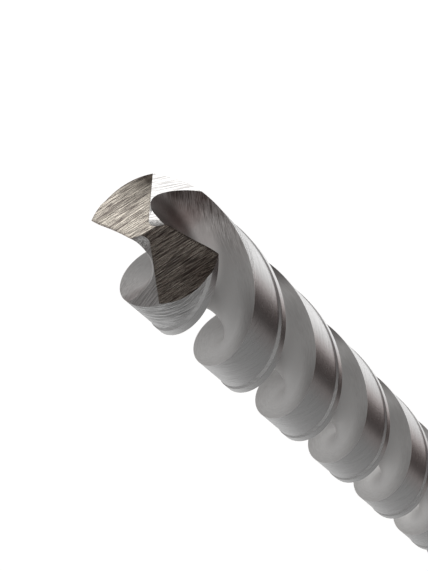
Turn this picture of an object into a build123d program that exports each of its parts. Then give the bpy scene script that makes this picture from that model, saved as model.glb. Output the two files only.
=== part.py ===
"""Extra long twist drill, ground from one bar of high speed steel.

The origin is the centre of the shank's end face, and +Z runs up the axis to the point.
At the point the two cutting lips lie along X. The flutes wind as a right hand screw.
All lengths are in millimetres and all angles in degrees.
"""

from build123d import *
import math
import os

# Driving dimensions of the bar
drill_diameter = 13.0
overall_length = 295.0
flute_length = 205.0  # from the apex to where the flutes have run out
back_taper = 0.0001  # that the fluted part's radius loses for each length below the apex
shank_chamfer = 0.8
chamfer_angle = 30.0  # off the shank's side

# Driving dimensions of the flutes
helix_angle = 33.0
web_thickness = 2.86
web_slant = 139.0  # heading of the flute floor, off the rake face
floor_flat = 0.18  # straight stretch that the floor keeps between its two rounds
heel_angle = 95.4  # from one cutting corner back to the heel of the land ahead
heel_slant = 81.0  # heading of the flute wall where it reaches the heel
heel_radius = 2.7  # between the flute floor and the heel wall
wheel_radius = 40.0  # of the flute grinding wheel, which sets the run-out
wheel_clear = 0.1  # how far above the bar the wheel ends its lift
runout_steps = 9  # sections that the fading end of a flute is lofted through
cutter_over = 2.0  # how far every cut stands out past the bar

# Driving dimensions of the lands
margin_width = 1.45
clearance_depth = 0.12
clearance_fade = 6.0  # length over which the land's relief dies out

# Driving dimensions of the point
point_angle = 130.0
lip_relief = 15.8
lip_ahead = 1.41  # how far the cutting corners stand ahead of the centre line
heel_facet_drop = 49.0  # slope of the second facet, down from level
heel_facet_heading = 58.0  # the way it falls, off the lip of the other land
heel_facet_low = 0.02  # how far under the apex it passes
split_heading = 45.5  # of the inner lip that the split leaves, off the main lip
split_ahead = 0.13  # how far the split stays clear of the centre
split_radius = 1.25  # in the corner of the splitting wheel

# Working values that follow from the sizes above
radius = drill_diameter / 2
body_radius = radius - clearance_depth
lead = math.pi * drill_diameter / math.tan(math.radians(helix_angle))
shank_top = overall_length - flute_length
shank_radius = radius - back_taper * flute_length
reach = radius + cutter_over

lip_slope = 1 / math.tan(math.radians(point_angle / 2))
relief_slope = math.tan(math.radians(lip_relief))
corner_x = math.sqrt(radius**2 - lip_ahead**2)
corner_drop = lip_slope * corner_x - relief_slope * lip_ahead
corner_turn = math.degrees(math.asin(lip_ahead / radius))


def turn_at(height):
    """Angle of the cutting corner of the +X flute at a height along the helix."""
    corner_height = overall_length - corner_drop
    return corner_turn + 360 * (height - corner_height) / lead


def bar_radius(height):
    """Radius of the fluted part, which narrows a hair from the point back to the shank."""
    return radius - back_taper * (overall_length - height)


def polar(distance, angle):
    """Point of the XY plane at a distance and an angle from the axis."""
    return Vector(
        distance * math.cos(math.radians(angle)),
        distance * math.sin(math.radians(angle)),
    )


def meeting(point, heading, other_point, other_heading):
    """Crossing of two lines of the XY plane, each given by a point and a heading."""
    along = polar(1, heading)
    across = polar(1, other_heading)
    gap = other_point - point
    share = (gap.X * across.Y - gap.Y * across.X) / (along.X * across.Y - along.Y * across.X)
    return point + along * share


def round_share(turn):
    """Length that a round takes from each of its two sides, for each unit of its radius."""
    return math.tan(math.radians(turn / 2))


def flute_outline():
    """Section of one flute, with its cutting corner on the X axis.

    The rake face runs in along X, bends through a wide round into the floor that touches
    the web, and hooks back through a smaller round to the heel of the land ahead.
    """
    web_touch = polar(web_thickness / 2, web_slant - 90)
    heel = polar(body_radius, heel_angle)
    rake_root = meeting(Vector(0, 0), 0, web_touch, web_slant)
    heel_root = meeting(web_touch, web_slant, heel, heel_slant)
    heel_top = meeting(heel, heel_slant, Vector(0, reach), 0)
    heel_round = heel_radius * round_share(web_slant - heel_slant)
    floor_round = (heel_root - rake_root).length - heel_round - floor_flat
    floor_radius = floor_round / round_share(180 - web_slant)
    inner = FilletPolyline(
        Vector(reach, 0),
        rake_root,
        heel_root,
        heel_top,
        radius=(floor_radius, heel_radius),
    )
    outer = Polyline(heel_top, Vector(reach, reach), Vector(reach, 0))
    return make_face(Curve() + [inner, outer])


def clearance_outline():
    """Section of the shallow relief behind one margin, in the frame of the flute."""
    start = heel_angle / 2
    margin_turn = math.degrees(margin_width / radius)
    end = 180 - margin_turn
    inside = radius / 2
    floor = CenterArc((0, 0), inside, start, end - start)
    side = Line(polar(inside, end), polar(reach, end))
    back = CenterArc((0, 0), reach, end, start - end)
    front = Line(polar(reach, start), polar(inside, start))
    return make_face(Curve() + [floor, side, back, front])


def wound(outline, low, high):
    """Wind an outline up the helix between two heights."""
    start = Pos(0, 0, low) * Rot(0, 0, turn_at(low)) * outline
    rise = high - low
    twist = 360 * rise / lead
    return Solid.extrude_linear_with_rotation(start.face(), (0, 0, low), (0, 0, rise), twist)


def both_sides(shape):
    """A cut for one flute and its copy for the other, half a turn round the axis."""
    return [shape, Rot(0, 0, 180) * shape]


def runout_height():
    """Height at which the grinding wheel starts to leave the flute."""
    lift = radius - web_thickness / 2 + wheel_clear
    travel = math.sqrt(2 * wheel_radius * lift - lift**2)
    return shank_top + travel * math.cos(math.radians(helix_angle))


def flute_runout(outline):
    """Fading end of one flute, along the arc of the wheel as it lifts out."""
    top = runout_height()
    fall = top - shank_top
    sections = []
    for step in range(runout_steps + 1):
        height = top - fall * step / runout_steps
        travel = (top - height) / math.cos(math.radians(helix_angle))
        lift = wheel_radius - math.sqrt(wheel_radius**2 - travel**2)
        place = Pos(0, 0, height) * Rot(0, 0, turn_at(height)) * Pos(polar(lift, heel_angle / 2))
        sections.append((place * outline).face())
    return loft(sections)


def bar():
    """Round bar: the chamfered cylinder of the shank and the fine taper of the fluted part."""
    chamfer_in = shank_chamfer * math.tan(math.radians(chamfer_angle))
    profile = Polyline(
        (0, 0),
        (shank_radius - chamfer_in, 0),
        (shank_radius, shank_chamfer),
        (shank_radius, shank_top),
        (radius, overall_length),
        (0, overall_length),
        close=True,
    )
    return revolve(Plane.XZ * make_face(profile), Axis.Z)


def relief_core():
    """What the land's relief leaves: a smaller bar that flares back to the full one."""
    fade_top = runout_height() + clearance_fade
    top = overall_length + reach
    profile = Polyline(
        (0, shank_top),
        (bar_radius(shank_top), shank_top),
        (bar_radius(runout_height()), runout_height()),
        (bar_radius(fade_top) - clearance_depth, fade_top),
        (bar_radius(top) - clearance_depth, top),
        (0, top),
        close=True,
    )
    return revolve(Plane.XZ * make_face(profile), Axis.Z)


def fluted_bar():
    """Bar with its flutes, their run-out and the relief behind the margins."""
    outline = flute_outline()
    relief = wound(clearance_outline(), runout_height(), overall_length) - relief_core()
    flute = wound(outline, runout_height(), overall_length)
    runout = flute_runout(outline)
    body = bar()
    for cut in (relief, flute, runout):
        for side in both_sides(cut):
            body = body - side
    return body


def primary_planes():
    """The two main facets, which hold the lips and cross in the chisel edge."""
    apex = Vector(0, 0, overall_length)
    outward = Vector(lip_slope, -relief_slope, 1)
    return [Plane(apex, z_dir=outward), Plane(apex, z_dir=outward.rotate(Axis.Z, 180))]


def split_notch():
    """Straight cut that grinds the second facet of one land and splits the chisel edge.

    Its floor is the second facet, which passes just under the apex. Its upright wall is
    the rake face of the other land's inner lip.
    """
    center = Vector(0, 0, overall_length - heel_facet_low)
    slope = math.tan(math.radians(heel_facet_drop))
    fall = polar(slope, heel_facet_heading)
    floor_normal = Vector(fall.X, fall.Y, 1).normalized()
    wall_normal = polar(1, split_heading + 90)
    run = wall_normal.cross(floor_normal).normalized()
    up_floor = floor_normal.cross(run).normalized()
    if up_floor.dot(wall_normal) < 0:
        up_floor = up_floor * -1
    corner = center + up_floor * (split_ahead / up_floor.dot(wall_normal))
    along_wall = wall_normal.cross(run).normalized()
    if along_wall.Z < 0:
        along_wall = along_wall * -1
    size = 2 * drill_diameter
    far_floor = corner + up_floor * size
    far_wall = corner + along_wall * size
    path = FilletPolyline(far_floor, corner, far_wall, radius=split_radius)
    outer = Polyline(far_wall, far_wall + up_floor * size, far_floor)
    profile = make_face(Curve() + [path, outer])
    return extrude(profile, amount=size, dir=run, both=True)


def twist_drill():
    """The whole drill: bar, flutes, point facets and split, in the order of grinding."""
    body = fluted_bar()
    for plane in primary_planes():
        body = split(body, bisect_by=plane, keep=Keep.BOTTOM)
    for notch in both_sides(split_notch()):
        body = body - notch
    return body.solid()


os.makedirs("parts", exist_ok=True)
drill = twist_drill()
drill.label = "twist_drill"
export_step(drill, "parts/twist_drill.step")
print("volume", round(drill.volume), "faces", len(drill.faces()), "valid", drill.is_valid)
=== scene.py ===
# %% [markdown]
# A long twist drill, dressed in ground steel.
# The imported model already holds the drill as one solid. This lesson builds a finer mesh of the
# same form, so that the flutes stay smooth close to the point, and gives every ground face the
# marks of the wheel that made it. Lengths are in metres and angles in degrees.

# %% Load the frame
import bmesh
import bpy
import math
import numpy as np
from mathutils import Matrix, Vector


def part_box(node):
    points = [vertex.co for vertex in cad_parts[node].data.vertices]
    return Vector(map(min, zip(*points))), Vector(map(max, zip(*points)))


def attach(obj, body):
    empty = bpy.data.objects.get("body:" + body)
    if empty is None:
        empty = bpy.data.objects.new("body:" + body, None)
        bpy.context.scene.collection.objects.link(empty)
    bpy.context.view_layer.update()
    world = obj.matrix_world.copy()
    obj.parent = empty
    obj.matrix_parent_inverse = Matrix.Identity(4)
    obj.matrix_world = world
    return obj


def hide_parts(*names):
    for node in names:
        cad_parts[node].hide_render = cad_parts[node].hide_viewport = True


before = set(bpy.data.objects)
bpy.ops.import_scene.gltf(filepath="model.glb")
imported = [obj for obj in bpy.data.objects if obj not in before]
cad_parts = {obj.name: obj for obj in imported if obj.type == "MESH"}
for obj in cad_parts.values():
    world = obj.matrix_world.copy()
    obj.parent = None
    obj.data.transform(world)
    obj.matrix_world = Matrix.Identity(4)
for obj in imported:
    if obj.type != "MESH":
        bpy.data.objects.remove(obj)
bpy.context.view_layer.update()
NODE = "twist_drill"

# %% [markdown]
# The overall length comes from the solid. The rest are the sizes that the grinder sets:
# diameter, helix, web, margin, relief and point. They are named here once, and every curve
# below is worked out from them.

# %% Sizes of the drill
MM = 0.001
low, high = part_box(NODE)
LENGTH = high.z - low.z
RADIUS = 6.5 * MM
FLUTE_LENGTH = 205 * MM  # from the apex to where the flutes have run out
BACK_TAPER = 0.0001  # that the radius loses for each length below the point
HELIX = 33
LEAD = 2 * math.pi * RADIUS / math.tan(math.radians(HELIX))
WEB = 2.86 * MM  # steel that is left between the two flutes
FLOOR_HEADING = 139  # of the flute floor, off the rake face
FLOOR_FLAT = 0.18 * MM
HEEL_ANGLE = 95.4  # round the section, from the cutting corner to the heel
HEEL_HEADING = 81
HEEL_ROUND = 2.7 * MM
RELIEF = 0.12 * MM  # how far the land lies under the margin
RELIEF_FADE = 6 * MM  # length over which that dies out near the shank
MARGIN = 1.45 * MM
MARGIN_STEP = 0.55 * MM  # width of the small slope between the margin and the relief
WHEEL = 40 * MM  # radius of the flute grinding wheel
SHANK_TOP = LENGTH - FLUTE_LENGTH
CHAMFER = 0.8 * MM
CHAMFER_ANGLE = 30
print("drill", round(LENGTH / MM, 1), "mm long,", round(2 * RADIUS / MM, 1), "mm across")

# %% [markdown]
# The point is four flats. Two hold the lips and cross in the chisel edge, and two more are the
# faces of a straight cut that clears each heel and splits the web. Each flat is given by the
# way it slopes.

# %% Sizes of the point
POINT_ANGLE = 130
LIP_SLOPE = 1 / math.tan(math.radians(POINT_ANGLE / 2))
LIP_RELIEF = math.tan(math.radians(15.8))
LIP_AHEAD = 1.41 * MM  # how far the cutting corners stand ahead of the centre line
HEEL_FALL = math.tan(math.radians(49))
HEEL_FALL_HEADING = 58
HEEL_LOW = 0.02 * MM  # how far under the apex the second flat passes
SPLIT_HEADING = 45.5
SPLIT_AHEAD = 0.13 * MM
SPLIT_ROUND = 1.25 * MM

CORNER_X = math.sqrt(RADIUS**2 - LIP_AHEAD**2)
CORNER_DROP = LIP_SLOPE * CORNER_X - LIP_RELIEF * LIP_AHEAD
CORNER_TURN = math.degrees(math.asin(LIP_AHEAD / RADIUS))
APEX = Vector((0, 0, LENGTH))
print("lip corners", round(CORNER_DROP / MM, 2), "mm under the apex")

# %% [markdown]
# A flute's section is a hook: the straight rake face, a wide round into the floor that touches
# the web, and a small round up to the heel. It could be a curve object, but a list of points
# from lines and arcs is easier to clip against the bar and to wind up the helix.

# %% Section of one flute
PATH_REACH = 1.4 * RADIUS  # so that both ends of the section lie outside the bar
RAKE_POINTS = 80
ROUND_POINTS = 60
WALL_POINTS = 120


def polar(distance, angle):
    """Point at a distance and an angle from the axis."""
    turn = math.radians(angle)
    return distance * np.array([math.cos(turn), math.sin(turn)])


def meeting(point, heading, other, other_heading):
    """Crossing of two lines, each given by a point and a heading."""
    along, across, gap = polar(1, heading), polar(1, other_heading), other - point
    crossed = along[0] * across[1] - along[1] * across[0]
    return point + along * (gap[0] * across[1] - gap[1] * across[0]) / crossed


def straight(start, end, count):
    """Points from start toward end, without the last one."""
    return [start + (end - start) * step / count for step in range(count)]


def right_hand_round(start, heading, turn, size, count):
    """Arc that leaves start along a heading and bends to the right."""
    centre = start + polar(size, heading - 90)
    return [centre + polar(size, heading + 90 - turn * step / count) for step in range(count)]


def flute_path():
    """Dense points of the flute's section, from outside the cutting corner to past the heel."""
    web_touch = polar(WEB / 2, FLOOR_HEADING - 90)
    heel = polar(RADIUS - RELIEF, HEEL_ANGLE)
    rake_root = meeting(np.zeros(2), 0, web_touch, FLOOR_HEADING)
    heel_root = meeting(web_touch, FLOOR_HEADING, heel, HEEL_HEADING)
    rake_turn = 180 - FLOOR_HEADING
    heel_turn = FLOOR_HEADING - HEEL_HEADING
    heel_share = HEEL_ROUND * math.tan(math.radians(heel_turn / 2))
    rake_share = np.linalg.norm(heel_root - rake_root) - heel_share - FLOOR_FLAT
    rake_round = rake_share / math.tan(math.radians(rake_turn / 2))
    rake_end = rake_root + polar(rake_share, 0)
    floor_end = heel_root - polar(heel_share, FLOOR_HEADING)
    wall_start = heel_root + polar(heel_share, HEEL_HEADING)
    path = straight(np.array([PATH_REACH, 0]), rake_end, RAKE_POINTS)
    path += right_hand_round(rake_end, 180, rake_turn, rake_round, ROUND_POINTS)
    path += right_hand_round(floor_end, FLOOR_HEADING, heel_turn, HEEL_ROUND, ROUND_POINTS)
    path += straight(wall_start, wall_start + polar(PATH_REACH, HEEL_HEADING), WALL_POINTS)
    return np.array(path)


FLUTE_PATH = flute_path()
print("flute path of", len(FLUTE_PATH), "points")

# %% [markdown]
# Every height of the drill gets one ring of points. It follows the flute where the flute lies
# inside the bar, and then the land, the small step and the margin. Near the shank the wheel
# lifts out on its own radius, so there the flute path is moved outward before it is clipped.

# %% Section of the drill at a height
FLUTE_POINTS = 60
LAND_POINTS = 20
MARGIN_POINTS = 5
WHEEL_CLEAR = 0.1 * MM  # how far above the bar the wheel ends its lift
LIFT_END = RADIUS - WEB / 2 + WHEEL_CLEAR
RUNOUT = math.sqrt(2 * WHEEL * LIFT_END - LIFT_END**2) * math.cos(math.radians(HELIX))
RUNOUT_TOP = SHANK_TOP + RUNOUT
SHALLOW = 0.05 * MM  # the least depth that a vanishing flute keeps in the mesh


def bar_radius(height):
    """Radius of the bar, which narrows a hair from the point down to the shank."""
    return RADIUS - BACK_TAPER * (LENGTH - max(height, SHANK_TOP))


def lifted(lift):
    """The flute's section, moved outward by the lift of the wheel."""
    return FLUTE_PATH + polar(lift, HEEL_ANGLE / 2)


SHANK_RADIUS = bar_radius(SHANK_TOP)
nearest = np.linalg.norm(lifted(LIFT_END), axis=1).min() - LIFT_END
LIFT_LIMIT = SHANK_RADIUS - nearest - SHALLOW


def wheel_lift(height):
    """How far the grinding wheel has left the flute at a height."""
    travel = max(0, RUNOUT_TOP - max(height, SHANK_TOP)) / math.cos(math.radians(HELIX))
    return min(WHEEL - math.sqrt(WHEEL**2 - travel**2), LIFT_LIMIT)


def relief_depth(height):
    """How far the land lies under the margin at a height."""
    return RELIEF * min(1, max(0, (height - RUNOUT_TOP) / RELIEF_FADE))


def half_section(height):
    """Points from one cutting corner round to the next, in the frame of the flute."""
    outer = bar_radius(height)
    inner = outer - relief_depth(height)
    path = lifted(wheel_lift(height))
    distance = np.linalg.norm(path, axis=1)
    enter = np.argmax(distance < outer)
    leave = len(path) - np.argmax(distance[::-1] < inner)
    start = enter - (outer - distance[enter]) / (distance[enter - 1] - distance[enter])
    end = leave - (distance[leave] - inner) / (distance[leave] - distance[leave - 1])
    place = np.linspace(start, end, FLUTE_POINTS)
    index = np.arange(len(path))
    flute = np.stack([np.interp(place, index, path[:, axis]) for axis in range(2)], axis=1)
    corner = math.degrees(math.atan2(flute[0][1], flute[0][0]))
    heel = math.degrees(math.atan2(flute[-1][1], flute[-1][0]))
    margin_start = corner + 180 - math.degrees(MARGIN / RADIUS)
    step_start = margin_start - math.degrees(MARGIN_STEP / RADIUS)
    land_turns = np.linspace(heel, step_start, LAND_POINTS + 1)[1:]
    margin_turns = np.linspace(margin_start, corner + 180, MARGIN_POINTS + 1)[:-1]
    land = [polar(inner, turn) for turn in land_turns]
    margin = [polar(outer, turn) for turn in margin_turns]
    return np.vstack([flute, land, margin])


HALF = len(half_section(LENGTH))
print("ring of", 2 * HALF, "points")

# %% [markdown]
# The rings are stacked and each is turned by its height's share of the lead. Near the point
# they stand close, because that is where the eye goes, and further down they are twice as far
# apart. The bar is left too long at the top: the point is ground off it afterwards, just as on
# the real drill.

# %% Wind the section up the helix
CLOSE_STEP = LEAD * 1.5 / 360
WIDE_STEP = LEAD * 3 / 360
CLOSE_DEPTH = 26 * MM  # under the apex, where the rings stop standing close
SPARE = 1 * MM  # length that is ground off when the point is made
SHANK_STEP = 8 * MM  # between the round rings of the shank
SHANK_RIM = 0.5 * MM  # from the last round ring up to the end of the flutes


def heights(start, end, step):
    """Even heights from start up to end, without the last one."""
    count = math.ceil((end - start) / step)
    return list(np.linspace(start, end, count + 1)[:-1])


def turn_at(height):
    """Angle of the cutting corner at a height."""
    return CORNER_TURN + 360 * (height - (LENGTH - CORNER_DROP)) / LEAD


def ring_at(height):
    """All points of the drill's section at a height."""
    turn = math.radians(turn_at(max(height, SHANK_TOP)))
    half = half_section(height)
    both = np.vstack([half, -half])
    c, s = math.cos(turn), math.sin(turn)
    x = both[:, 0] * c - both[:, 1] * s
    y = both[:, 0] * s + both[:, 1] * c
    return np.stack([x, y, np.full(len(both), height)], axis=1)


def shank_circle(ring):
    """The same points, pushed out onto the round shank."""
    length = np.hypot(ring[:, 0], ring[:, 1])
    ring[:, 0] *= SHANK_RADIUS / length
    ring[:, 1] *= SHANK_RADIUS / length
    return ring


end_share = 1 - CHAMFER * math.tan(math.radians(CHAMFER_ANGLE)) / SHANK_RADIUS
end_ring = shank_circle(ring_at(0)) * np.array([end_share, end_share, 1])
rings = [end_ring]
for height in heights(CHAMFER, SHANK_TOP, SHANK_STEP) + [SHANK_TOP - SHANK_RIM]:
    rings.append(shank_circle(ring_at(height)))
shank_rings = len(rings)
fluted_heights = heights(SHANK_TOP, LENGTH - CLOSE_DEPTH, WIDE_STEP)
fluted_heights += heights(LENGTH - CLOSE_DEPTH, LENGTH + SPARE, CLOSE_STEP)
fluted_heights.append(LENGTH + SPARE)
for height in fluted_heights:
    rings.append(ring_at(height))
print(len(rings), "rings,", 4 * HALF * len(rings), "triangles")

# %% [markdown]
# Each face remembers which part of the drill it belongs to, as a material number. Blender keeps
# those numbers through the cuts that follow, so nothing has to be picked out by hand later.

# %% Mesh of the fluted bar
FINISHES = ["flute", "land", "step", "margin", "shank", "end"]
FINISHES += ["lip_flat", "heel_flat", "split_wall"]
SLOT = {name: number for number, name in enumerate(FINISHES)}


def finish_of(column, row):
    """Material number of the face that stands on a ring, counted round from the cutting corner."""
    if row == 0:
        return SLOT["end"]
    if row < shank_rings:
        return SLOT["shank"]
    place = column % HALF
    if place < FLUTE_POINTS - 1:
        return SLOT["flute"]
    if place < FLUTE_POINTS + LAND_POINTS - 1:
        return SLOT["land"]
    if place < FLUTE_POINTS + LAND_POINTS:
        return SLOT["step"]
    return SLOT["margin"]


def fluted_bar():
    """Mesh of all rings, joined by quads and closed at both ends."""
    around = 2 * HALF
    faces, finish = [], []
    for row in range(len(rings) - 1):
        for column in range(around):
            here = row * around + column
            beside = row * around + (column + 1) % around
            faces.append((here, beside, beside + around, here + around))
            finish.append(finish_of(column, row))
    faces.append(tuple(reversed(range(around))))
    faces.append(tuple(range((len(rings) - 1) * around, len(rings) * around)))
    finish += [SLOT["end"], SLOT["end"]]
    mesh = bpy.data.meshes.new("drill")
    mesh.from_pydata(np.vstack(rings).tolist(), [], faces)
    mesh.polygons.foreach_set("material_index", finish)
    mesh.update()
    return mesh


drill_mesh = fluted_bar()
for name in FINISHES:
    drill_mesh.materials.append(bpy.data.materials.new(name))
print("bar of", len(drill_mesh.polygons), "faces")

# %% [markdown]
# The two lip flats are ground first. A plane cut that fills its own hole does the job exactly,
# and is far cheaper than a boolean with a block.

# %% Grind the lip flats
WELD = 1e-9  # points closer to the plane than this lie on it


def lip_flat_normal(side):
    """The way that a lip flat faces."""
    return Vector((side * LIP_SLOPE, -side * LIP_RELIEF, 1)).normalized()


def grind_flat(shape, normal, slot):
    """Take off everything outside a plane through the apex and close the cut."""
    everything = shape.verts[:] + shape.edges[:] + shape.faces[:]
    cut = bmesh.ops.bisect_plane(
        shape, geom=everything, dist=WELD, plane_co=APEX, plane_no=normal, clear_outer=True
    )
    rim = [part for part in cut["geom_cut"] if isinstance(part, bmesh.types.BMEdge)]
    made = bmesh.ops.contextual_create(shape, geom=rim)
    for face in made["faces"]:
        face.material_index = slot
    return len(made["faces"])


shape = bmesh.new()
shape.from_mesh(drill_mesh)
for side in (1, -1):
    closed = grind_flat(shape, lip_flat_normal(side), SLOT["lip_flat"])
    print("lip flat closed with", closed, "face")
bmesh.ops.recalc_face_normals(shape, faces=shape.faces[:])
shape.to_mesh(drill_mesh)
shape.free()
drill = bpy.data.objects.new("drill_body", drill_mesh)
bpy.context.scene.collection.objects.link(drill)

# %% [markdown]
# The split is a straight pass of a wheel with a rounded corner. It is modelled as a bar with
# that profile, pushed right through, and taken away with a boolean. Its floor is the second
# flat of one land, and its upright wall leaves the short inner lip of the other.

# %% Cut the two splits
CUTTER_SIZE = 4 * RADIUS  # more than enough to reach past the bar
SPLIT_STEPS = 12  # of the arc in the corner of the splitting wheel


def split_cutter(side):
    """Bar that follows the splitting wheel, for one land."""
    fall = polar(HEEL_FALL, HEEL_FALL_HEADING)
    floor = Vector((fall[0], fall[1], 1)).normalized()
    wall = Vector((*polar(1, SPLIT_HEADING + 90), 0))
    run = wall.cross(floor).normalized()
    up_floor = floor.cross(run).normalized()
    up_floor *= math.copysign(1, up_floor.dot(wall))
    up_wall = wall.cross(run).normalized()
    up_wall *= math.copysign(1, up_wall.z)
    corner = APEX - Vector((0, 0, HEEL_LOW)) + up_floor * (SPLIT_AHEAD / up_floor.dot(wall))
    opening = up_floor.angle(up_wall)
    tangent = SPLIT_ROUND / math.tan(opening / 2)
    middle = corner + (up_floor + up_wall).normalized() * (SPLIT_ROUND / math.sin(opening / 2))
    start = (corner + up_floor * tangent - middle).normalized()
    end = (corner + up_wall * tangent - middle).normalized()
    shares = [step / SPLIT_STEPS for step in range(SPLIT_STEPS + 1)]
    arc = [middle + start.slerp(end, share) * SPLIT_ROUND for share in shares]
    outline = [corner + up_floor * CUTTER_SIZE] + arc + [corner + up_wall * CUTTER_SIZE]
    outline.append(corner + (up_floor + up_wall) * CUTTER_SIZE)
    return prism(outline, run * CUTTER_SIZE, side)


def prism(outline, half_run, side):
    """Closed bar through an outline. Its first side is the heel flat, the next are the wall."""
    count = len(outline)
    turn = Matrix.Rotation(0 if side > 0 else math.pi, 3, "Z")
    points = [turn @ (p + half_run * way) for way in (-1, 1) for p in outline]
    faces = [(i, (i + 1) % count, (i + 1) % count + count, i + count) for i in range(count)]
    faces += [tuple(reversed(range(count))), tuple(range(count, 2 * count))]
    mesh = bpy.data.meshes.new("cutter")
    mesh.from_pydata(points, [], faces)
    for face in mesh.polygons:
        face.material_index = SLOT["heel_flat"] if face.index == 0 else SLOT["split_wall"]
    for material in drill_mesh.materials:
        mesh.materials.append(material)
    tidy = bmesh.new()
    tidy.from_mesh(mesh)
    bmesh.ops.recalc_face_normals(tidy, faces=tidy.faces[:])
    tidy.to_mesh(mesh)
    tidy.free()
    cutter = bpy.data.objects.new("cutter", mesh)
    bpy.context.scene.collection.objects.link(cutter)
    return cutter


def take_away(body, cutter):
    """Cut one object out of another and keep only the result."""
    boolean = body.modifiers.new("split", "BOOLEAN")
    boolean.operation = "DIFFERENCE"
    boolean.solver = "MANIFOLD"
    boolean.object = cutter
    seen = bpy.context.evaluated_depsgraph_get()
    cut = bpy.data.meshes.new_from_object(body.evaluated_get(seen))
    body.modifiers.remove(boolean)
    body.data = cut
    bpy.data.objects.remove(cutter)


for side in (1, -1):
    take_away(drill, split_cutter(side))
used = sorted({face.material_index for face in drill.data.polygons})
print("split drill of", len(drill.data.polygons), "faces, finishes", [FINISHES[i] for i in used])

# %% [markdown]
# Smooth shading hides the small quads on the flutes, while every edge that the wheel left has
# to stay crisp. Marking edges as sharp by their angle gives both at once.

# %% Smooth faces and sharp edges
SHARP = 29  # edges that bend by more degrees than this stay crisp
drill.data.polygons.foreach_set("use_smooth", [True] * len(drill.data.polygons))
drill.data.set_sharp_from_angle(angle=math.radians(SHARP))
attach(drill, "root")
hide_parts(NODE)
print("drill rides on root and stands for", NODE)

# %% [markdown]
# Shader nodes take many lines to add one by one. A small helper keeps every material short: it
# adds a node, sets its values or links them, and gives the node back.


# %% A helper for shader trees
class Tree:
    """Short calls that add shader nodes to one tree and wire them."""

    def __init__(self, tree):
        self.tree = tree

    def feed(self, socket, value):
        """Wire another node's output into a socket, or set the socket's own value."""
        if isinstance(value, bpy.types.NodeSocket):
            self.tree.links.new(value, socket)
        else:
            socket.default_value = value

    def add(self, kind, settings=None, **inputs):
        """Place a node. In the names of its inputs an underscore stands for a space."""
        node = self.tree.nodes.new("ShaderNode" + kind)
        for name, value in (settings or {}).items():
            setattr(node, name, value)
        for name, value in inputs.items():
            self.feed(node.inputs[name.replace("_", " ")], value)
        return node

    def number(self, operation, *values):
        """One step of arithmetic on numbers."""
        node = self.add("Math", {"operation": operation})
        for socket, value in zip(node.inputs, values):
            self.feed(socket, value)
        return node.outputs["Value"]

    def vector(self, operation, *values):
        """One step of arithmetic on vectors."""
        node = self.add("VectorMath", {"operation": operation})
        for socket, value in zip(node.inputs, values):
            self.feed(socket, value)
        return node.outputs["Value" if operation in ("DOT_PRODUCT", "LENGTH") else "Vector"]

    def spread(self, value, low_in, high_in, low_out=0.0, high_out=1.0):
        """Stretch a range of numbers onto another, and hold it at the ends."""
        node = self.add("MapRange", Value=value, From_Min=low_in, From_Max=high_in)
        self.feed(node.inputs["To Min"], low_out)
        self.feed(node.inputs["To Max"], high_out)
        return node.outputs["Result"]

    def mix(self, share, first, second, kind="RGBA", blend="MIX"):
        """Mix two colours, or two numbers with the kind FLOAT."""
        node = self.add("Mix", {"data_type": kind, "blend_type": blend})
        self.feed(node.inputs["Factor"], share)
        self.feed(node.inputs["A"], first)
        self.feed(node.inputs["B"], second)
        return node.outputs["Result"]

    def group(self, name, **inputs):
        """Place a node group and return its outputs."""
        node = self.tree.nodes.new("ShaderNodeGroup")
        node.node_tree = bpy.data.node_groups[name]
        for title, value in inputs.items():
            self.feed(node.inputs[title.replace("_", " ")], value)
        return node.outputs


def new_group(name, inputs, outputs):
    """Start a node group with named sockets. Inputs are (title, kind, default)."""
    tree = bpy.data.node_groups.new(name, "ShaderNodeTree")
    for title, kind, value in inputs:
        socket = tree.interface.new_socket(title, in_out="INPUT", socket_type="NodeSocket" + kind)
        if value is not None:
            socket.default_value = value
    for title, kind in outputs:
        tree.interface.new_socket(title, in_out="OUTPUT", socket_type="NodeSocket" + kind)
    enter, leave = tree.nodes.new("NodeGroupInput"), tree.nodes.new("NodeGroupOutput")
    return Tree(tree), enter.outputs, leave.inputs


print("helper ready")

# %% [markdown]
# The marks inside a flute follow the helix, so their pattern has to be wound as well. Turning
# each point back by its height's share of the lead gives a place that stays the same all along
# one line of the flute. A stretched noise in that frame then runs up the helix by itself.

# %% Group: wound place
tree, given, made = new_group(
    "wound place",
    [("Place", "Vector", None), ("Lead", "Float", LEAD)],
    [("Wound", "Vector")],
)
height = tree.add("SeparateXYZ", Vector=given["Place"]).outputs["Z"]
unwind = tree.number("MULTIPLY", tree.number("DIVIDE", height, given["Lead"]), -2 * math.pi)
turned = tree.add("VectorRotate", {"rotation_type": "Z_AXIS"}, Vector=given["Place"], Angle=unwind)
tree.feed(made["Wound"], turned.outputs["Vector"])
print("group wound place")

# %% [markdown]
# A grinding wheel leaves thin scratches that are long against their width, but each grit soon
# breaks out and the next one starts. An image could hold them, but it would blur close up.
# Noise stretched along one axis does the same at any distance: fine lines, softer bands where
# the wheel cut a little deeper, and single deep scratches. Crowd brings the single ones closer
# together. Grooves draws them as thin lines, which lie where the noise crosses its middle value.

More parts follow.
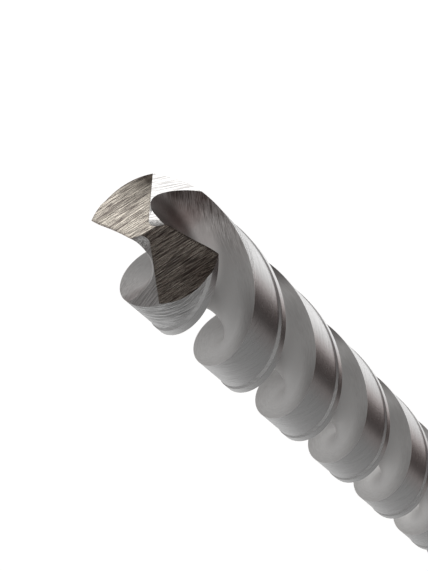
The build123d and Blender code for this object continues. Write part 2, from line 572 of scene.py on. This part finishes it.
# %% Group: wheel marks
tree, given, made = new_group(
    "wheel marks",
    [
        ("Place", "Vector", None),
        ("Size", "Vector", (0.005, 0.0002, 0.0002)),
        ("Seed", "Float", 0),
        ("Crowd", "Float", 0.9),
        ("Grooves", "Float", 0),
    ],
    [("Fine", "Float"), ("Broad", "Float"), ("Scratch", "Float")],
)
EVEN = (0.25, 0.75)  # between these lie nearly all the values of a noise
WIDER = (0.6, 0.28, 0.28)  # stretches the soft bands against the fine lines
APART = (31, 17, 5)  # keeps the single scratches from following the fine lines
CRESTS = (0.58, 0.72)  # a scratch starts at the first height of the noise and is full at the other
GROOVE = (0.02, 0.09)  # how far the noise is from its middle at a groove's floor and at its rim
scaled = tree.vector("ADD", tree.vector("DIVIDE", given["Place"], given["Size"]), given["Seed"])
fine = tree.add("TexNoise", Vector=scaled, Scale=1, Detail=2, Roughness=0.55)
wide = tree.vector("MULTIPLY", scaled, WIDER)
broad = tree.add("TexNoise", Vector=wide, Scale=1, Detail=2, Roughness=0.5)
crowd = tree.add("CombineXYZ", X=0.6, Y=given["Crowd"], Z=given["Crowd"]).outputs["Vector"]
apart = tree.vector("MULTIPLY_ADD", scaled, crowd, APART)
single = tree.add("TexNoise", Vector=apart, Scale=1, Detail=0, Roughness=0.5)
tree.feed(made["Fine"], tree.spread(fine.outputs["Fac"], *EVEN))
tree.feed(made["Broad"], tree.spread(broad.outputs["Fac"], *EVEN))
strokes = tree.spread(single.outputs["Fac"], *CRESTS)
from_middle = tree.number("ABSOLUTE", tree.number("SUBTRACT", single.outputs["Fac"], 0.5))
grooves = tree.spread(from_middle, *GROOVE, 1, 0)
tree.feed(made["Scratch"], tree.mix(given["Grooves"], strokes, grooves, "FLOAT"))
print("group wheel marks")

# %% [markdown]
# The same three marks drive colour, gloss and relief together, so that a deep line is darker,
# duller and lower at once. That agreement is what makes scratches read as cut metal and not as
# a printed pattern.

# %% Group: cut metal
tree, given, made = new_group(
    "cut metal",
    [
        ("Fine", "Float", 0.5),
        ("Broad", "Float", 0.5),
        ("Scratch", "Float", 0),
        ("Level", "Float", 0.6),
        ("Bands", "Float", 0.4),
        ("Cuts", "Float", 0.3),
        ("Contrast", "Float", 1),
        ("Bright", "Color", (0.6, 0.6, 0.6, 1)),
        ("Dark", "Color", (0.2, 0.2, 0.2, 1)),
        ("Gloss Rough", "Float", 0.25),
        ("Dull Rough", "Float", 0.45),
    ],
    [("Color", "Color"), ("Roughness", "Float"), ("Height", "Float")],
)
blend = tree.mix(given["Bands"], given["Fine"], given["Broad"], "FLOAT")
swing = tree.number("MULTIPLY", tree.number("SUBTRACT", blend, 0.5), given["Contrast"])
depth = tree.number("MULTIPLY", given["Contrast"], given["Cuts"])
cut = tree.number("MULTIPLY", given["Scratch"], depth)
tone = tree.spread(tree.number("SUBTRACT", tree.number("ADD", swing, given["Level"]), cut), 0, 1)
tree.feed(made["Color"], tree.mix(tone, given["Dark"], given["Bright"]))
tree.feed(made["Roughness"], tree.spread(tone, 0, 1, given["Dull Rough"], given["Gloss Rough"]))
tree.feed(made["Height"], tree.number("SUBTRACT", swing, cut))
print("group cut metal")

# %% [markdown]
# Sharp edges get a line painted along them: a painted highlight for the light that a rounded
# edge would catch, and on the lip flats a dark line of painted shade. The Bevel node looks at
# how the normal would turn if the edge were rounded, and where it differs from the true normal
# there is an edge. Noise of a chosen grain breaks the line up. The mask says only where, and
# each finish gives its own colour.

# %% Group: painted edge
tree, given, made = new_group(
    "painted edge",
    [
        ("Place", "Vector", None),
        ("Width", "Float", 0.0001),
        ("Amount", "Float", 1),
        ("Grain", "Float", 900),
    ],
    [("Mask", "Float")],
)
BEND = (0.01, 0.2)  # between a face's slight curve and a real edge
PATCHES = (0.35, 0.65)  # noise that breaks the painted line, and noise that leaves it whole
FAINTEST = 0.35  # share of the painted line that is left in a break
rounded = tree.add("Bevel", {"samples": 6}, Radius=given["Width"]).outputs["Normal"]
true_normal = tree.add("NewGeometry").outputs["Normal"]
bend = tree.number("SUBTRACT", 1, tree.vector("DOT_PRODUCT", rounded, true_normal))
patch = tree.add("TexNoise", Vector=given["Place"], Scale=given["Grain"], Detail=2)
broken = tree.spread(patch.outputs["Fac"], *PATCHES, FAINTEST, 1)
mask = tree.number("MULTIPLY", tree.spread(bend, *BEND), broken)
tree.feed(made["Mask"], tree.number("MULTIPLY", mask, given["Amount"]))
print("group painted edge")

# %% [markdown]
# Painted shade: brown darkening is painted into the colour where shade falls in corners and
# hollows: on the corners of the lip flats, at the root of each split, and in the hook and along
# the rim of a flute. It takes light away, so the colour is multiplied by it. The drill is the
# same after half a turn, so each spot has a twin on the other side, which may be fainter.

# %% Group: painted shade
tree, given, made = new_group(
    "painted shade",
    [
        ("Place", "Vector", None),
        ("Spot", "Vector", None),
        ("Reach", "Float", 0.003),
        ("Twin", "Float", 1),
    ],
    [("Mask", "Float")],
)
CLOUDS = 500  # for each metre
RAGGED = 0.12  # how far the clouds push the rim of a painted shade in and out, as a share of its reach
cloud = tree.add("TexNoise", Vector=given["Place"], Scale=CLOUDS, Detail=3).outputs["Fac"]
unrest = tree.spread(cloud, 0.3, 0.7, -RAGGED, RAGGED)


def tinted_round(spot):
    """Mask that is full at a spot and fades out at its reach."""
    away = tree.vector("LENGTH", tree.vector("SUBTRACT", given["Place"], spot))
    share = tree.number("DIVIDE", away, given["Reach"])
    return tree.spread(tree.number("ADD", share, unrest), 0.1, 1, 1, 0)


twin_mask = tinted_round(tree.vector("MULTIPLY", given["Spot"], (-1, -1, 1)))
twin_mask = tree.number("MULTIPLY", twin_mask, given["Twin"])
tree.feed(made["Mask"], tree.number("MAXIMUM", tinted_round(given["Spot"]), twin_mask))
print("group painted shade")

# %% [markdown]
# Every finish of the drill is the same steel under other marks. One function builds such a
# material from the place that its marks follow, their size and its tones, and each finish
# below only says what is its own. The marks stand out near the point and are brushed softer
# further down, so the contrast has a value for each end. In a flute they also fade toward the
# axis, where the wheel's rim runs smoothly.

# %% Steel under wheel marks
EDGE_HIGHLIGHT = (0.78, 0.76, 0.73)  # painted highlight along sharp edges, for the light that a rounded edge would catch
FRESH_DEPTH = 3 * MM  # under the apex, where the marks start to soften
CALMED = 0.15  # share of the marks that is left where a flute runs smooth


def steel(
    name,
    place_of,
    size,
    seed,
    contrast,
    mix,
    tones,
    rough,
    relief,
    edge,
    painted_shades=(),
    calm=None,
    crowd=0.9,
    grooves=0,
    grain=900,
):
    """Fill a material of the drill.

    place_of turns the object's place into that of the marks, and size is that of one mark.
    contrast is near the point, far down, and how far down that is. mix is the level of the
    tone, the share of the soft bands and the depth of the cuts. tones are bright and dark.
    edge is the width, strength and colour of a line painted along the edges, a painted highlight
    or painted shade, and grain its breaks for each metre.
    The spots of painted shade each give place, reach, strength, share of the twin, and colour.
    calm is how far from the axis a flute runs smooth, and how far out its marks are full.
    crowd and grooves go to the wheel marks as they are.
    """
    near, far, worn_depth = contrast
    level, bands, cuts = mix
    bright, dark = tones
    material = drill.data.materials[name]
    material.use_nodes = True
    tree = Tree(material.node_tree)
    shader = material.node_tree.nodes["Principled BSDF"]
    place = tree.add("TexCoord").outputs["Object"]
    height = tree.add("SeparateXYZ", Vector=place).outputs["Z"]
    followed = place_of(tree, place)
    marks = tree.group(
        "wheel marks", Place=followed, Size=size, Seed=seed, Crowd=crowd, Grooves=grooves
    )
    strength = tree.spread(height, LENGTH - worn_depth, LENGTH - FRESH_DEPTH, far, near)
    if calm:
        from_axis = tree.vector("LENGTH", tree.vector("MULTIPLY", place, (1, 1, 0)))
        strength = tree.number("MULTIPLY", strength, tree.spread(from_axis, *calm, CALMED, 1))
    metal = tree.group(
        "cut metal",
        Fine=marks["Fine"],
        Broad=marks["Broad"],
        Scratch=marks["Scratch"],
        Level=level,
        Bands=bands,
        Cuts=cuts,
        Contrast=strength,
        Bright=(*bright, 1),
        Dark=(*dark, 1),
        Gloss_Rough=rough[0],
        Dull_Rough=rough[1],
    )
    color = metal["Color"]
    # painted shade: each spot darkens the colour round it
    for spot, reach, share, twin, tint in painted_shades:
        mask = tree.group("painted shade", Place=place, Spot=spot, Reach=reach, Twin=twin)["Mask"]
        color = tree.mix(tree.number("MULTIPLY", mask, share), color, (*tint, 1), blend="MULTIPLY")
    width, amount, edge_tone = edge
    # painted highlight, or painted shade on the lip flats, in a line along the sharp edges
    edge_line = tree.group("painted edge", Place=place, Width=width, Amount=amount, Grain=grain)
    tree.feed(shader.inputs["Base Color"], tree.mix(edge_line["Mask"], color, (*edge_tone, 1)))
    tree.feed(shader.inputs["Roughness"], metal["Roughness"])
    bump = tree.add("Bump", Height=metal["Height"], Distance=relief, Strength=1)
    tree.feed(shader.inputs["Normal"], bump.outputs["Normal"])
    shader.inputs["Metallic"].default_value = 1
    return material


def headed(angle):
    """Marks that run straight along a heading."""

    def place_of(tree, place):
        turned = tree.add("VectorRotate", {"rotation_type": "Z_AXIS"}, Vector=place)
        turned.inputs["Angle"].default_value = -math.radians(angle)
        return turned.outputs["Vector"]

    return place_of


def round_the_bar(tree, place):
    """Marks that follow the bar's own axes: a flat size makes them run round it."""
    return place


print("steel ready, marks soften from", FRESH_DEPTH / MM, "mm under the apex")

# %% [markdown]
# The lip flats are ground on a coarse cup wheel that crosses both of them at one heading. They
# are flat bright steel, cut by narrow dark brown grooves that lie close together, with a dark
# line of painted shade along the lips and painted shade in their corners. The heel flats and
# the split come from a finer wheel, with painted shade round the chisel and a painted highlight
# along their edges. Their lines have hardly any depth, so a flat that mirrors a lamp stays white
# and its twin still shows them.

# %% Finish of the flats
WHEEL_HEADING = 60.5
HEEL_CORNER = (*polar(6.3 * MM, 126), LENGTH - 3.1 * MM)
LIP_CORNER = (*polar(6.1 * MM, -7.5), LENGTH - 3.1 * MM)
EDGE_SHADE = (0.13, 0.11, 0.1)  # painted shade: a dark line along the lip flats' edges, broken into dots
CHISEL = (0, 0, LENGTH - 1 * MM)
steel(
    "lip_flat",
    headed(WHEEL_HEADING),
    size=(2.6 * MM, 0.046 * MM, 0.046 * MM),
    seed=0,
    contrast=(1.0, 1.0, 10 * MM),
    mix=(0.77, 0.04, 0.6),
    tones=((0.74, 0.69, 0.6), (0.12, 0.097, 0.088)),
    rough=(0.22, 0.34),
    relief=0.02 * MM,
    crowd=0.275,
    grooves=1,
    # a dark line of painted shade along the lips
    edge=(0.4 * MM, 1, EDGE_SHADE),
    grain=5000,
    # painted shade at the heel corners, and a fainter one at the lip corner
    painted_shades=[
        (HEEL_CORNER, 4.3 * MM, 1, 0.25, (0.1, 0.09, 0.083)),
        (LIP_CORNER, 3 * MM, 1, 0, (0.4, 0.37, 0.36)),
    ],
)
steel(
    "heel_flat",
    headed(HEEL_FALL_HEADING),
    size=(2.4 * MM, 0.09 * MM, 50 * MM),
    seed=7,
    contrast=(4, 4, 10 * MM),
    mix=(0.66, 0.1, 0.2),
    tones=((0.87, 0.86, 0.85), (0.53, 0.515, 0.505)),
    rough=(0.24, 0.3),
    relief=0.001 * MM,
    edge=(0.08 * MM, 0.3, EDGE_HIGHLIGHT),
    # painted shade round the chisel, at the root of each split
    painted_shades=[(CHISEL, 2.2 * MM, 0.6, 1, (0.5, 0.46, 0.44))],
)
steel(
    "split_wall",
    headed(SPLIT_HEADING),
    size=(0.5 * MM, 0.12 * MM, 0.12 * MM),
    seed=3,
    contrast=(2.4, 2.4, 10 * MM),
    mix=(0.66, 0.2, 0.3),
    tones=((0.8, 0.79, 0.77), (0.3, 0.29, 0.28)),
    rough=(0.35, 0.45),
    relief=0.005 * MM,
    edge=(0.08 * MM, 0.3, EDGE_HIGHLIGHT),
)
print("flats done")

# %% [markdown]
# The wheel comes into a flute from the point, on its own arc. So its strokes lean over near the
# point, down the heel wall, and only further down do they follow the helix. In the wound frame
# that is a drift along the wall that grows with the square of the height above the place where
# the wheel has settled. The twin flute drifts the other way.

# %% Place of the strokes in a flute
WHEEL_SETTLED = LENGTH - 15 * MM
LEAN = 45  # half the curvature of a stroke, in units per metre
WALL_DOWN = turn_at(0) + HEEL_HEADING + 180


def flute_strokes(tree, place):
    """Marks that lean over near the point and follow the helix below."""
    wound = tree.group("wound place", Place=place)["Wound"]
    height = tree.add("SeparateXYZ", Vector=place).outputs["Z"]
    above = tree.number("MAXIMUM", tree.number("SUBTRACT", height, WHEEL_SETTLED), 0)
    flute_middle = polar(1, turn_at(0) + HEEL_ANGLE / 2)
    side = tree.number("SIGN", tree.vector("DOT_PRODUCT", wound, (*flute_middle, 0)))
    drift = tree.number("MULTIPLY", side, tree.number("POWER", above, 2))
    return tree.vector("MULTIPLY_ADD", drift, (*polar(LEAN, WALL_DOWN), 0), wound)


print("strokes lean above", round(WHEEL_SETTLED / MM), "mm")

# %% [markdown]
# The lands are ground between centres with a wheel that travels along the bar, which leaves
# marks round it that climb. That climb is a screw of its own, with a short lead. The small step
# is mattest, and the margin and the shank keep the fine rings of the last pass. A flute gets
# brown painted shade in its hook, along its rim near the point and where the heel edge ends.
# Each finish has a painted highlight along its sharp edges.

# %% Finish of flutes, lands, margins and shank
MARK_CLIMB = 27  # of the marks round the land, in degrees
LAND_LEAD = 2 * math.pi * RADIUS * math.tan(math.radians(MARK_CLIMB))
SEARCH_DEPTH = 12 * MM  # under the apex, more than the heel's end lies there
SEARCH_STEPS = 2400


def climbing_marks(tree, place):
    """Marks that run round the bar and climb."""
    return tree.group("wound place", Place=place, Lead=LAND_LEAD)["Wound"]


def heel_place(height):
    """Point of the heel edge behind the +X flute at a height."""
    return polar(RADIUS - RELIEF, turn_at(height) + HEEL_ANGLE)


def heel_end():
    """Height at which the heel edge meets the second flat."""
    fall = polar(HEEL_FALL, HEEL_FALL_HEADING)
    steps = np.linspace(LENGTH - SEARCH_DEPTH, LENGTH, SEARCH_STEPS)
    over = [LENGTH - HEEL_LOW - abs(fall @ heel_place(height)) - height for height in steps]
    return steps[np.argmin(np.abs(over))]


HEEL_TOP = heel_end()
HEEL_END = (*heel_place(HEEL_TOP), HEEL_TOP)
HOOK = (*polar(2.75 * MM, 88), LENGTH - 7 * MM)
RIM = (*polar(4.8 * MM, 101), LENGTH - 4.6 * MM)
print("heel edge ends", round((LENGTH - HEEL_TOP) / MM, 2), "mm under the apex")
steel(
    "flute",
    flute_strokes,
    size=(0.085 * MM, 0.085 * MM, 1.3 * MM),
    seed=11,
    contrast=(2.4, 0.25, 16 * MM),
    mix=(0.63, 0.1, 0.3),
    tones=((0.71, 0.70, 0.69), (0.19, 0.17, 0.16)),
    rough=(0.28, 0.42),
    relief=0.014 * MM,
    edge=(0.12 * MM, 0.6, EDGE_HIGHLIGHT),
    # painted shade in the hook, where the heel edge ends and along the rim near the point
    painted_shades=[
        (HOOK, 12 * MM, 0.9, 0.3, (1, 0.94, 0.93)),
        (HOOK, 3 * MM, 0.8, 0.3, (0.7, 0.58, 0.56)),
        (HEEL_END, 4.2 * MM, 0.9, 1, (0.46, 0.39, 0.38)),
        (RIM, 2.2 * MM, 0.9, 1, (0.4, 0.35, 0.33)),
    ],
    calm=(3.8 * MM, 5.2 * MM),
    grooves=0.5,
)
steel(
    "land",
    climbing_marks,
    size=(0.25 * MM, 0.25 * MM, 1.1 * MM),
    seed=5,
    contrast=(4.2, 0.3, 20 * MM),
    mix=(0.63, 0.25, 0.5),
    tones=((0.78, 0.775, 0.77), (0.22, 0.21, 0.205)),
    rough=(0.2, 0.32),
    relief=0.012 * MM,
    edge=(0.12 * MM, 0.6, EDGE_HIGHLIGHT),
)
steel(
    "step",
    round_the_bar,
    size=(6 * MM, 6 * MM, 0.2 * MM),
    seed=8,
    contrast=(1, 1, 20 * MM),
    mix=(0.6, 0.5, 0.2),
    tones=((0.77, 0.765, 0.76), (0.48, 0.475, 0.47)),
    rough=(0.5, 0.55),
    relief=0.003 * MM,
    edge=(0.05 * MM, 0.1, EDGE_HIGHLIGHT),
)
steel(
    "margin",
    round_the_bar,
    size=(6 * MM, 6 * MM, 0.12 * MM),
    seed=2,
    contrast=(0.9, 0.5, 26 * MM),
    mix=(0.6, 0.3, 0.3),
    tones=((0.73, 0.725, 0.72), (0.45, 0.44, 0.43)),
    rough=(0.2, 0.3),
    relief=0.004 * MM,
    edge=(0.1 * MM, 0.4, EDGE_HIGHLIGHT),
)
steel(
    "shank",
    round_the_bar,
    size=(9 * MM, 9 * MM, 0.12 * MM),
    seed=9,
    contrast=(0.8, 0.8, 26 * MM),
    mix=(0.6, 0.4, 0.3),
    tones=((0.72, 0.715, 0.71), (0.46, 0.45, 0.44)),
    rough=(0.22, 0.34),
    relief=0.003 * MM,
    edge=(0.1 * MM, 0.3, EDGE_HIGHLIGHT),
)
steel(
    "end",
    round_the_bar,
    size=(1 * MM, 0.2 * MM, 1 * MM),
    seed=4,
    contrast=(0.8, 0.8, 26 * MM),
    mix=(0.6, 0.4, 0.3),
    tones=((0.64, 0.635, 0.63), (0.36, 0.35, 0.34)),
    rough=(0.3, 0.42),
    relief=0.004 * MM,
    edge=(0.1 * MM, 0.3, EDGE_HIGHLIGHT),
)
print("finishes:", [m.name for m in drill.data.materials])

# %% [markdown]
# Bare metal has hardly any look of its own: it shows the room. Seen from the camera, this room
# is pale on the far side and half lit at the near left. It is brightest at the height of the
# drill and brown where little light comes: on one stretch of the left wall, in a corner beside
# the camera and at the ceiling. A low window on the near side gives the flutes their light
# stretch. The same falloff is needed for the paper and for the walls, so it is a group that
# turns a direction into a light.

# %% Group: room glow
LIT_SIDE = 165
HALF_LIT_SIDE = -65
EVERYWHERE = 0.07  # light that every direction gets
DARK_WALL = Vector((*polar(1, -140), -0.2)).normalized()
WINDOW = Vector((*polar(1, -24), -0.7)).normalized()
DARK_CORNER = Vector((*polar(1, -26), -0.17)).normalized()
NEAR_FLOOR = Vector((*polar(1, -20), -2.6)).normalized()
WAIST = 1.9  # how much brighter the walls are at the height of the drill
CEILING = 0.08  # share of the light that is left overhead
WHITE = (1, 1, 1, 1)
BROWN = (1, 0.76, 0.72, 1)
tree, given, made = new_group(
    "room glow", [("Direction", "Vector", None)], [("Color", "Color"), ("Glow", "Float")]
)
way = tree.vector("NORMALIZE", given["Direction"])
level_way = tree.vector("NORMALIZE", tree.vector("MULTIPLY", way, (1, 1, 0)))


def side_glow(heading, strength, narrow):
    """Light from one side of the room, falling off round to the other."""
    facing = tree.vector("DOT_PRODUCT", level_way, (*polar(1, heading), 0))
    share = tree.number("POWER", tree.spread(facing, -1, 1), narrow)
    return tree.number("MULTIPLY", share, strength)


def toward(direction, near, far, outside, inside):
    """One value nearer to a direction than the first angle, another past the second."""
    facing = tree.vector("DOT_PRODUCT", way, direction)
    start, end = math.cos(math.radians(far)), math.cos(math.radians(near))
    return tree.spread(facing, start, end, outside, inside)


def dim(glow, share):
    """Light that is taken down to a share of itself."""
    return tree.number("MULTIPLY", glow, share)


lit = side_glow(LIT_SIDE, strength=0.47, narrow=1.8)
half_lit = side_glow(HALF_LIT_SIDE, strength=0.22, narrow=2.6)
sides = tree.number("ADD", tree.number("ADD", lit, half_lit), EVERYWHERE)
glow = tree.number("ADD", sides, toward(WINDOW, 12, 36, outside=0, inside=0.44))
up = tree.add("SeparateXYZ", Vector=way).outputs["Z"]
glow = dim(glow, tree.spread(up, 0.42, 0.75, 1, CEILING))
below = tree.spread(up, -0.3, -0.08, 1, WAIST)
above = tree.spread(up, 0.3, 0.55, WAIST, 1)
glow = tree.number("MULTIPLY", glow, tree.number("MINIMUM", below, above))
glow = dim(glow, toward(DARK_WALL, 16, 37, outside=1, inside=0.32))
glow = dim(glow, toward(DARK_CORNER, 14, 19.5, outside=1, inside=0.05))
glow = dim(glow, toward(NEAR_FLOOR, 8, 28, outside=1, inside=0.78))
tree.feed(made["Glow"], glow)
lit_enough = tree.spread(glow, 0.06, 0.2)
not_overhead = tree.spread(up, 0.35, 0.6, 1, 0)
bleached = tree.number("MULTIPLY", lit_enough, not_overhead)
tree.feed(made["Color"], tree.mix(bleached, BROWN, WHITE))
print("group room glow")

# %% [markdown]
# The drill stands on a sheet of white paper. The metal sees it with the falloff of the room,
# two pools of light and a wedge that lies in shade. The camera sees it as plain white: it glows
# by itself and takes the lamps' light on top. Round the foot it glows less, so that the
# drill's own shadow still shows there.

# %% Paper
POOLS = [  # place of the middle, size and strength
    (polar(95 * MM, 100), 80 * MM, 0.97),
    (polar(95 * MM, -145), 50 * MM, 0.22),
]
WEDGE_HEADING = 27
WEDGE = (0.86, 0.965)  # cosine of the angle off that heading at the wedge's rim, and well inside
SHADE_REACH = (0.15, 0.35)  # in metres from the foot
SHADE = (0.28, 0.85)  # share of the light that the wedge leaves at each end of that reach
PAPER_SIZE = 1.5
FOOT_SIZE = 300 * MM  # round the foot, where the paper keeps the drill's shadow
OWN_GLOW = 0.93
FOOT_GLOW = 0.78


def disc(name, radius, height, sides=96):
    """Flat round sheet at a height."""
    mesh = bpy.data.meshes.new(name)
    rim = [(*polar(radius, 360 * side / sides), height) for side in range(sides)]
    mesh.from_pydata(rim, [], [tuple(range(sides))])
    made = bpy.data.objects.new(name, mesh)
    bpy.context.scene.collection.objects.link(made)
    return made


def soft_spot(tree, place, middle, size):
    """Round mask that fades from its middle in a bell curve."""
    away = tree.vector("LENGTH", tree.vector("SUBTRACT", place, (*middle, 0)))
    squared = tree.number("POWER", tree.number("DIVIDE", away, size), 2)
    return tree.number("POWER", math.e, tree.number("MULTIPLY", squared, -1))


def paper_material():
    """White for the camera, the falloff of the room for the metal, matt for all other light."""
    material = bpy.data.materials.new("paper")
    material.use_nodes = True
    nodes = material.node_tree.nodes
    nodes.clear()
    tree = Tree(material.node_tree)
    place = tree.add("TexCoord").outputs["Object"]
    pool = 0.0
    for middle, size, strength in POOLS:
        spot = tree.number("MULTIPLY", soft_spot(tree, place, middle, size), strength)
        pool = tree.number("ADD", spot, pool)
    room = tree.group("room glow", Direction=tree.vector("SUBTRACT", place, APEX))
    outward = tree.vector("NORMALIZE", place)
    wedge = tree.vector("DOT_PRODUCT", outward, (*polar(1, WEDGE_HEADING), 0))
    shade = tree.spread(tree.vector("LENGTH", place), *SHADE_REACH, *SHADE)
    unshaded = tree.spread(wedge, *WEDGE, 1, shade)
    glow = tree.number("MULTIPLY", tree.number("ADD", pool, room["Glow"]), unshaded)
    in_metal = tree.add("Emission", Color=room["Color"], Strength=glow)
    shaded = soft_spot(tree, place, (0, 0), FOOT_SIZE)
    white = tree.add("Emission", Strength=tree.spread(shaded, 0, 1, OWN_GLOW, FOOT_GLOW))
    matt = tree.add("BsdfDiffuse", Color=(0.8, 0.8, 0.8, 1))
    lit = tree.add("AddShader")
    tree.feed(lit.inputs[0], white.outputs["Emission"])
    tree.feed(lit.inputs[1], matt.outputs["BSDF"])
    light_path = tree.add("LightPath").outputs
    mirror = tree.number("MAXIMUM", light_path["Is Glossy Ray"], light_path["Is Transmission Ray"])
    seen = tree.add("MixShader", Fac=light_path["Is Camera Ray"])
    tree.feed(seen.inputs[1], matt.outputs["BSDF"])
    tree.feed(seen.inputs[2], lit.outputs["Shader"])
    shown = tree.add("MixShader", Fac=mirror)
    tree.feed(shown.inputs[1], seen.outputs["Shader"])
    tree.feed(shown.inputs[2], in_metal.outputs["Emission"])
    out = tree.add("OutputMaterial")
    tree.feed(out.inputs["Surface"], shown.outputs["Shader"])
    return material


paper = disc("paper", PAPER_SIZE, 0)
paper.data.materials.append(paper_material())
print("paper laid")

# %% [markdown]
# The walls of the room carry on where the paper ends and grow dark toward the ceiling. Seen
# from the camera, a small softbox on the right gives the crisp white on the heel flat that faces
# it, and a large one on the far side lights the lip flat there and the lands below it.

# %% World and softboxes
room = bpy.data.worlds.new("room")
bpy.context.scene.world = room
room.use_nodes = True
tree = Tree(room.node_tree)
direction = tree.add("TexCoord").outputs["Generated"]
walls = tree.group("room glow", Direction=direction)
seen = tree.add("LightPath").outputs["Is Camera Ray"]
background = room.node_tree.nodes["Background"]
tree.feed(background.inputs["Color"], tree.mix(seen, walls["Color"], WHITE))
tree.feed(background.inputs["Strength"], tree.mix(seen, walls["Glow"], 1.0, "FLOAT"))


def softbox(name, heading, height, away, size, power, aim=0.28):
    """Square area light of some watts that faces the drill's axis near the point."""
    light = bpy.data.lights.new(name, "AREA")
    light.size, light.energy = size, power
    lamp = bpy.data.objects.new(name, light)
    lamp.location = (*polar(away, heading), height)
    facing = Vector((0, 0, aim)) - lamp.location
    lamp.rotation_euler = facing.to_track_quat("-Z", "Y").to_euler()
    lamp.visible_camera = False
    bpy.context.scene.collection.objects.link(lamp)
    return lamp


softbox("key", heading=75, height=0.28, away=0.7, size=0.45, power=0.76)
softbox("fill", heading=154, height=0.6, away=0.7, size=0.7, power=1.5)
print("room and softboxes")

# %% [markdown]
# The photograph looks down on the point from 19 degrees off the drill's axis, from about 30 cm
# away with a long lens. The place and the two axes of the picture below were found by matching
# the corners of the point.

# %% Camera
CAMERA_PLACE = Vector((0.0980013, -0.0261371, 0.5830255))
CAMERA_RIGHT = Vector((0.845584, 0.485398, -0.222208))
CAMERA_UP = Vector((-0.443942, 0.870546, 0.212284))
FOCAL = 205.3  # for a sensor 36 mm high

lens = bpy.data.cameras.new("camera")
camera = bpy.data.objects.new("camera", lens)
bpy.context.scene.collection.objects.link(camera)
axes = Matrix((CAMERA_RIGHT, CAMERA_UP, CAMERA_RIGHT.cross(CAMERA_UP))).transposed().to_4x4()
camera.matrix_world = Matrix.Translation(CAMERA_PLACE) @ axes
lens.sensor_width = 36
lens.lens = FOCAL
lens.clip_start = 0.01
bpy.context.scene.camera = camera
bpy.context.scene.view_settings.view_transform = "Standard"
print("camera", round((CAMERA_PLACE - APEX).length, 3), "m from the point")
